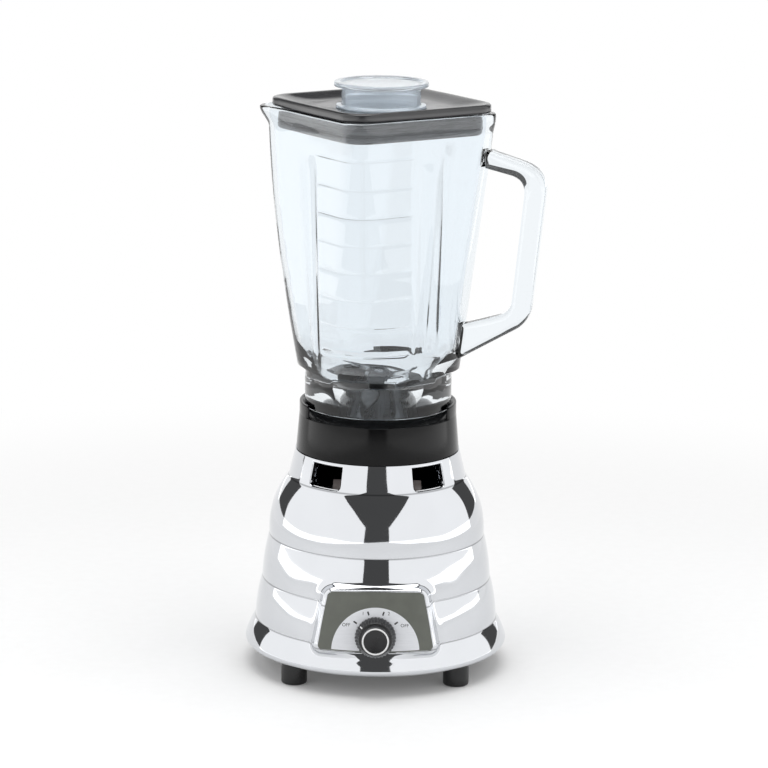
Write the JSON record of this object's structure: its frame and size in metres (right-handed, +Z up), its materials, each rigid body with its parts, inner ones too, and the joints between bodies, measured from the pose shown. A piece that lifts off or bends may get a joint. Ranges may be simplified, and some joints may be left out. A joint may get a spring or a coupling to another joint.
{
  "type": "countertop blender",
  "caption": "Countertop blender with a stepped chrome base, rotary dial, black collar, square glass jar with a corner handle, lift-out blades, lid and clear filler cap.",
  "frame": {"origin": "middle of the whole outline seen from above, on the surface that the feet stand on", "axes": "+Z up along the drive axis, -Y towards the user and the knob, +X to the right, where the jar's handle is"},
  "size_m": [0.1973, 0.189, 0.3941],
  "materials": {
    "chrome_shell": "mirror polish",
    "black_plastic": "satin",
    "lid_plastic": "gloss",
    "dial_print": "satin print",
    "black_rubber": "matt",
    "clear_glass": "clear polished",
    "clear_plastic": "clear polished",
    "zinc_steel": "bright zinc",
    "blade_steel": "ground and polished",
    "cast_aluminium": "as cast",
    "lamination_steel": "varnished laminations",
    "winding_copper": "enamelled copper",
    "bearing_bronze": "sintered bronze",
    "carbon": "matt",
    "brown_insulation": "moulded"
  },
  "bodies": {
    "base": {"base_housing": "chrome_shell", "collar_ring": "black_plastic", "bottom_plate": "black_plastic", "dial_plate": "dial_print", "cord_inlet_bush": "black_rubber", "foot_front_left": "black_rubber", "foot_front_right": "black_rubber", "foot_rear_right": "black_rubber", "foot_rear_left": "black_rubber", "foot_screw_front_left": "zinc_steel", "foot_screw_front_right": "zinc_steel", "foot_screw_rear_right": "zinc_steel", "foot_screw_rear_left": "zinc_steel", "collar_screw_1": "zinc_steel", "collar_screw_2": "zinc_steel", "collar_screw_3": "zinc_steel", "switch_nut": "zinc_steel", "motor_bolt_rear": "zinc_steel", "motor_bolt_front": "zinc_steel", "brush_spring_right": "zinc_steel", "brush_spring_left": "zinc_steel", "motor_upper_bracket": "cast_aluminium", "motor_lower_bracket": "cast_aluminium", "stator_core": "lamination_steel", "field_coil_right": "winding_copper", "field_coil_left": "winding_copper", "upper_bearing": "bearing_bronze", "lower_bearing": "bearing_bronze", "carbon_brush_right": "carbon", "carbon_brush_left": "carbon", "switch_body": "brown_insulation", "brush_holder_right": "brown_insulation", "brush_holder_left": "brown_insulation"},
    "knob": {"knob": "black_plastic", "switch_shaft": "bearing_bronze"},
    "armature": {"armature_core": "lamination_steel", "winding_end_upper": "winding_copper", "winding_end_lower": "winding_copper", "commutator": "winding_copper", "motor_shaft": "zinc_steel", "cooling_fan": "black_plastic", "slinger_washer": "black_rubber", "drive_stud": "zinc_steel"},
    "jar": {"jar_glass": "clear_glass", "jar_base_cap": "black_plastic", "jar_gasket": "black_rubber", "blade_base": "zinc_steel", "blade_bearing": "bearing_bronze"},
    "blades": {"thrust_washer": "bearing_bronze", "lower_blade": "blade_steel", "upper_blade": "blade_steel", "blade_nut": "zinc_steel", "blade_shaft": "zinc_steel"},
    "lid": {"lid": "lid_plastic"},
    "filler_cap": {"filler_cap": "clear_plastic"}
  },
  "joints": [
    {"name": "knob_turn", "type": "hinge", "parent": "base", "child": "knob", "pos_m": [-0.01093, -0.07568, 0.0403], "axis": [0, -0.9914, 0.1305], "range_deg": [-102, 0]},
    {"name": "armature_spin", "type": "hinge", "parent": "base", "child": "armature", "pos_m": [-0.01093, 0.00598, 0], "axis": [0, 0, 1], "continuous": true},
    {"name": "jar_lift", "type": "slide", "parent": "base", "child": "jar", "axis": [0, 0, 1], "range_m": [0, 0.08]},
    {"name": "blade_spin", "type": "hinge", "parent": "jar", "child": "blades", "pos_m": [-0.01093, 0.00598, 0], "axis": [0, 0, 1], "continuous": true},
    {"name": "lid_lift", "type": "slide", "parent": "jar", "child": "lid", "axis": [0, 0, 1], "range_m": [0, 0.04]},
    {"name": "filler_cap_lift", "type": "slide", "parent": "lid", "child": "filler_cap", "axis": [0, 0, 1], "range_m": [0, 0.04]}
  ],
  "couplings": [
    {"joint": "blade_spin", "follows": "armature_spin", "ratio": 1}
  ]
}
